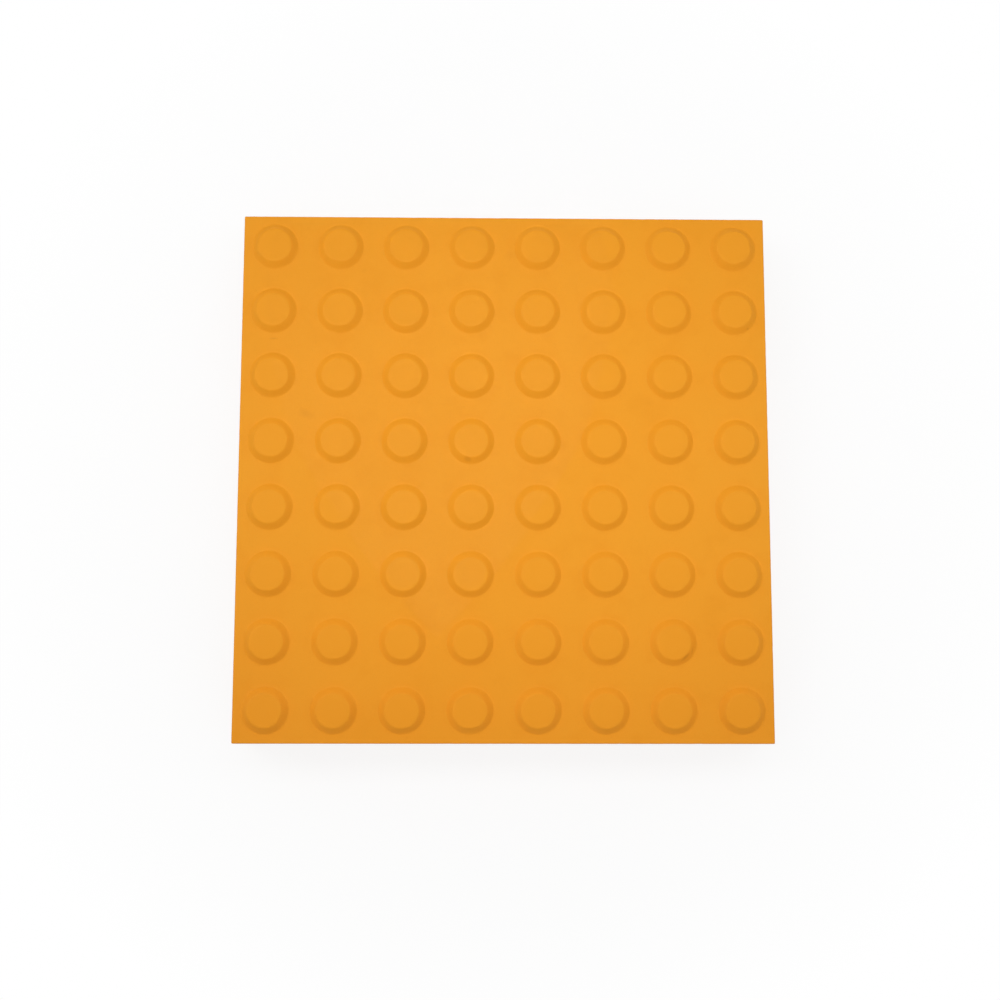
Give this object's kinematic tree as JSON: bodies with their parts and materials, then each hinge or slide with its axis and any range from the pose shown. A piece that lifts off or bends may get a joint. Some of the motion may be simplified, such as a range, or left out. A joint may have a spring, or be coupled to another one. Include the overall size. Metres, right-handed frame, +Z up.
{
  "type": "tactile paving slab",
  "caption": "Square concrete paving slab with a grid of raised truncated domes on its face, laid as a warning surface to be felt underfoot or with a cane.",
  "frame": {"origin": "centre of the bed face, the underside that the slab lies on", "axes": "+Z up, out of the domed face; X and Y along the slab's sides, +Y towards the top of the picture"},
  "size_m": [0.398, 0.398, 0.0545],
  "materials": {
    "concrete": "matte"
  },
  "bodies": {
    "root": {"paving_slab": "concrete"}
  },
  "joints": []
}
